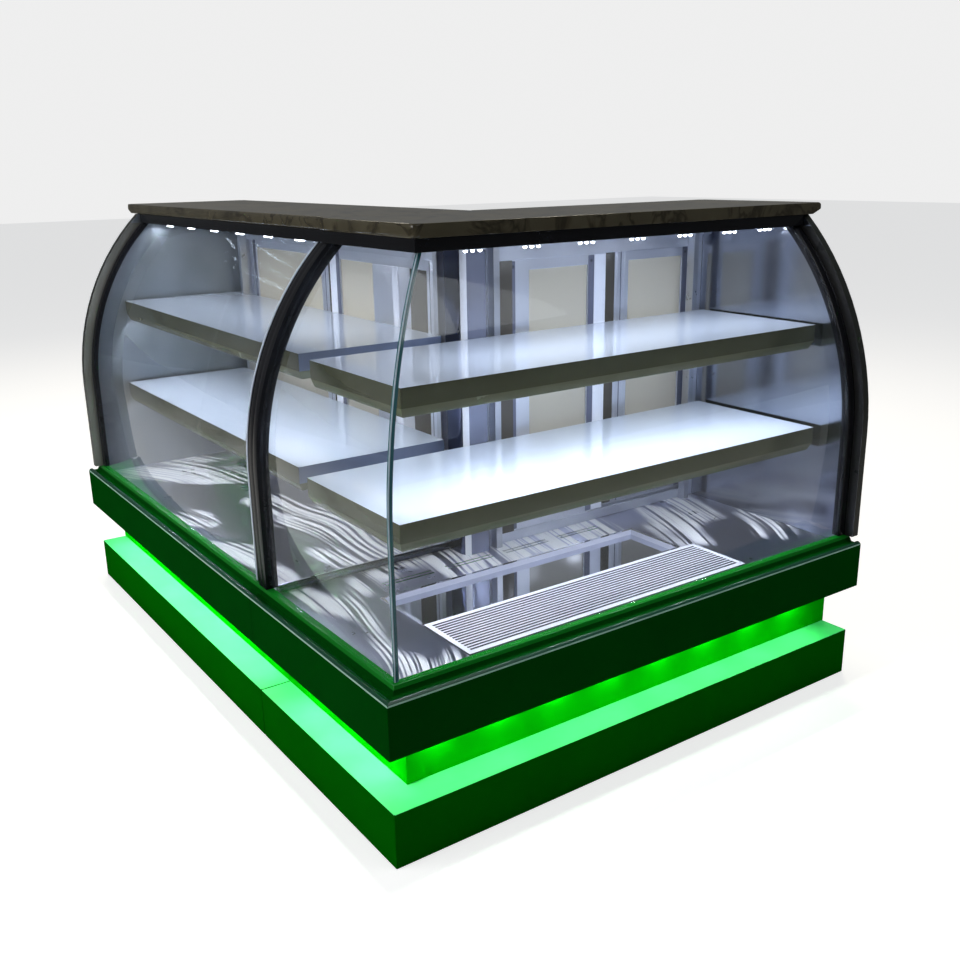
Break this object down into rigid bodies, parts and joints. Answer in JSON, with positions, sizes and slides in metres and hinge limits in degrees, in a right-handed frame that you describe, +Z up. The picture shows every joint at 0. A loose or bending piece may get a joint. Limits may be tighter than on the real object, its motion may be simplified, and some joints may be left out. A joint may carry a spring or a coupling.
{
  "type": "bakery display case",
  "caption": "Corner bakery display case with bent glass, lit shelves, sliding rear doors, stone worktop and a green apron over a lit toe recess.",
  "frame": {"origin": "middle of the bounding box, on the floor", "axes": "+Z up; +X along the front module to the right as the customer sees it; +Y along the wing, away from the customer; the front glass faces -Y and the wing glass faces -X"},
  "size_m": [1.5696, 2.2066, 1.3],
  "materials": {
    "granite": "polished",
    "black_gloss": "gloss",
    "clear_glass": "clear, polished edges",
    "polished_steel": "polished",
    "white_shelf": "gloss white top on polished folded edges",
    "white_grille": "satin",
    "green_gloss": "gloss green paint on board",
    "green_cabinet": "gloss green",
    "led_white": "diffuse cover",
    "light_rail_aluminium": "satin",
    "anodised_aluminium": "satin anodised",
    "door_glass": "tinted, translucent",
    "galvanised_steel": "satin",
    "coil_aluminium": "mill finish",
    "black_plastic": "matte",
    "compressor_black": "semi-gloss",
    "switch_red": "gloss"
  },
  "bodies": {
    "case": {"apron_front": "green_gloss", "apron_light_front": "led_white", "apron_light_wing": "led_white", "apron_wing": "green_gloss", "base_front": "green_cabinet", "base_wing": "green_cabinet", "compressor": "compressor_black", "condenser_coil": "coil_aluminium", "condenser_fan_shroud": "black_plastic", "control_panel": "black_plastic", "cord_gland": "black_plastic", "corner_post": "polished_steel", "deck_front": "polished_steel", "deck_pan": "polished_steel", "deck_wing": "polished_steel", "end_panel_left": "polished_steel", "end_panel_right": "polished_steel", "evaporator_coil": "coil_aluminium", "evaporator_fan_shroud": "black_plastic", "glass_front": "clear_glass", "glass_side": "clear_glass", "glass_strip_left": "black_gloss", "glass_strip_right": "black_gloss", "glass_wing": "clear_glass", "header_front": "black_gloss", "header_wing": "black_gloss", "light_rail_front": "light_rail_aluminium", "light_rail_wing": "light_rail_aluminium", "louvre_front": "galvanised_steel", "louvre_wing": "galvanised_steel", "plinth_front": "green_gloss", "plinth_wing": "green_gloss", "rear_frame_front": "anodised_aluminium", "rear_frame_wing": "anodised_aluminium", "return_grille": "white_grille", "seam_bar": "polished_steel", "seam_rib_front": "black_gloss", "seam_rib_wing": "black_gloss", "shelf_front_lower": "white_shelf", "shelf_front_upper": "white_shelf", "shelf_support_front_left": "polished_steel", "shelf_support_front_right": "polished_steel", "shelf_support_wing_left": "polished_steel", "shelf_support_wing_right": "polished_steel", "shelf_wing_lower": "white_shelf", "shelf_wing_upper": "white_shelf", "worktop_corner": "granite", "worktop_wing": "granite"},
    "door_front_inner": {"door_front_inner": "anodised_aluminium", "door_front_inner_pane": "door_glass"},
    "door_front_outer": {"door_front_outer": "anodised_aluminium", "door_front_outer_pane": "door_glass"},
    "door_wing_inner": {"door_wing_inner": "anodised_aluminium", "door_wing_inner_pane": "door_glass"},
    "door_wing_outer": {"door_wing_outer": "anodised_aluminium", "door_wing_outer_pane": "door_glass"},
    "evaporator_fan": {"evaporator_fan": "coil_aluminium"},
    "condenser_fan": {"condenser_fan": "coil_aluminium"},
    "thermostat_knob": {"thermostat_knob": "black_plastic"},
    "power_switch": {"power_switch": "switch_red"}
  },
  "joints": [
    {"name": "door_front_inner_slide", "type": "slide", "parent": "case", "child": "door_front_inner", "axis": [1, 0, 0], "range_m": [0, 0.345]},
    {"name": "door_front_outer_slide", "type": "slide", "parent": "case", "child": "door_front_outer", "axis": [-1, 0, 0], "range_m": [0, 0.315]},
    {"name": "door_wing_inner_slide", "type": "slide", "parent": "case", "child": "door_wing_inner", "axis": [0, 1, 0], "range_m": [0, 0.626]},
    {"name": "door_wing_outer_slide", "type": "slide", "parent": "case", "child": "door_wing_outer", "axis": [0, -1, 0], "range_m": [0, 0.575]},
    {"name": "evaporator_fan_spin", "type": "hinge", "parent": "case", "child": "evaporator_fan", "pos_m": [-0.0382, -0.8317, 0.235], "axis": [0, 1, 0], "continuous": true},
    {"name": "condenser_fan_spin", "type": "hinge", "parent": "case", "child": "condenser_fan", "pos_m": [-0.4182, 0.3283, 0.24], "axis": [0, 1, 0], "continuous": true},
    {"name": "thermostat_turn", "type": "hinge", "parent": "case", "child": "thermostat_knob", "pos_m": [0.4768, -0.4064, 0.265], "axis": [0, 1, 0], "range_deg": [0, 270]},
    {"name": "power_switch_rock", "type": "hinge", "parent": "case", "child": "power_switch", "pos_m": [0.5668, -0.4087, 0.265], "axis": [1, 0, 0], "range_deg": [-14, 0]}
  ]
}
